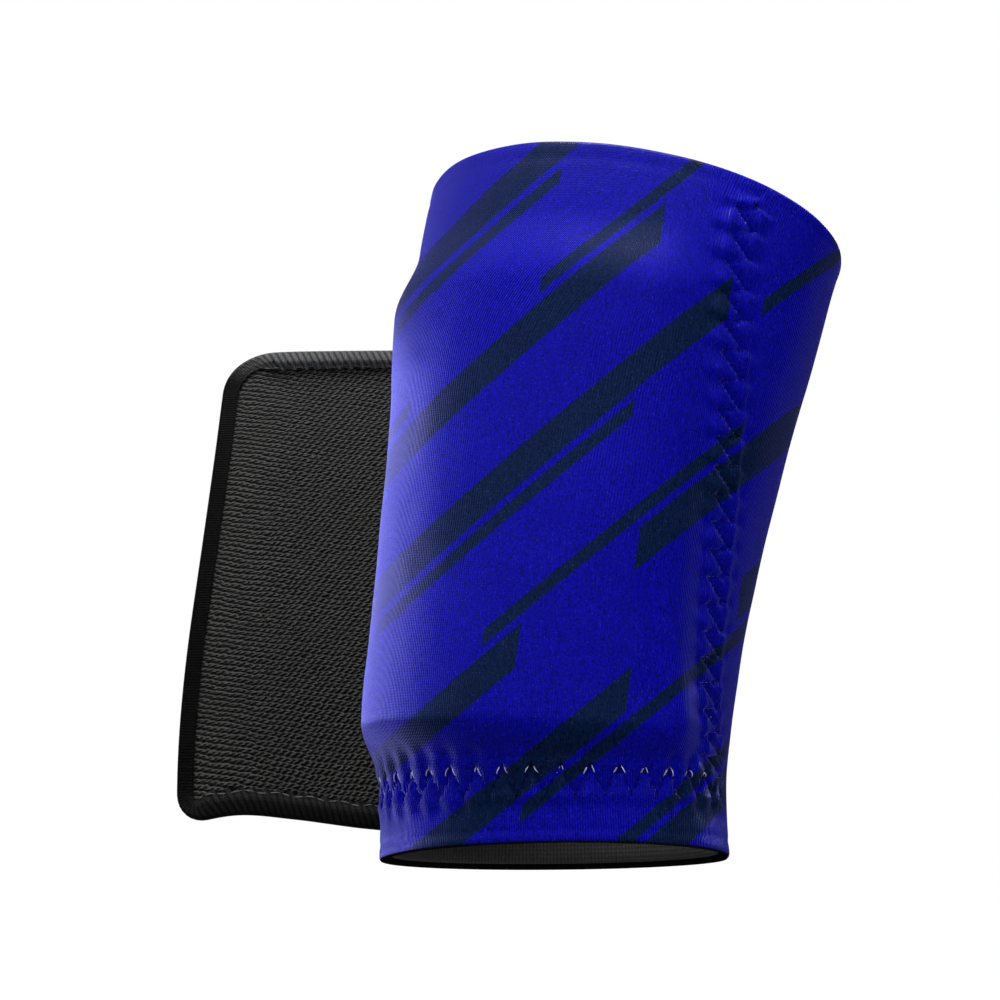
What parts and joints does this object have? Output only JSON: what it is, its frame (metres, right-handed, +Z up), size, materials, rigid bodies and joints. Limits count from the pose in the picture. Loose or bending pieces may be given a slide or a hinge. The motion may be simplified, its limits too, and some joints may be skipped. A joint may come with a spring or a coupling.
{
  "type": "wrist guard",
  "caption": "Pull-on wrist guard: a padded blue knit sleeve, open at both ends, with a black elastic wrap strap at its back.",
  "frame": {"origin": "centre of the wrist opening at the sleeve's lower rim, where the sleeve sits on the wrist", "axes": "+Z up the forearm, -Y the way the front of the sleeve faces, -X the side where the strap stands free; the pad's middle lies 15 degrees from -Y toward -X"},
  "size_m": [0.1436, 0.0921, 0.1557],
  "materials": {
    "blue_knit": "fine ribbed knit with a diagonal navy stripe print and a soft sheen",
    "black_lining": "plain black brushed knit",
    "pad_core": "firm moulded pad, matte",
    "black_elastic": "black elastic knit with diagonal rows",
    "black_binding": "gathered black edging with a stitched line",
    "black_hook": "short dense hook pile"
  },
  "bodies": {
    "root": {"sleeve": "blue_knit", "lining": "black_lining", "guard_pad": "pad_core", "strap": "black_elastic", "strap_binding": "black_binding", "hook_patch": "black_hook"}
  },
  "joints": []
}
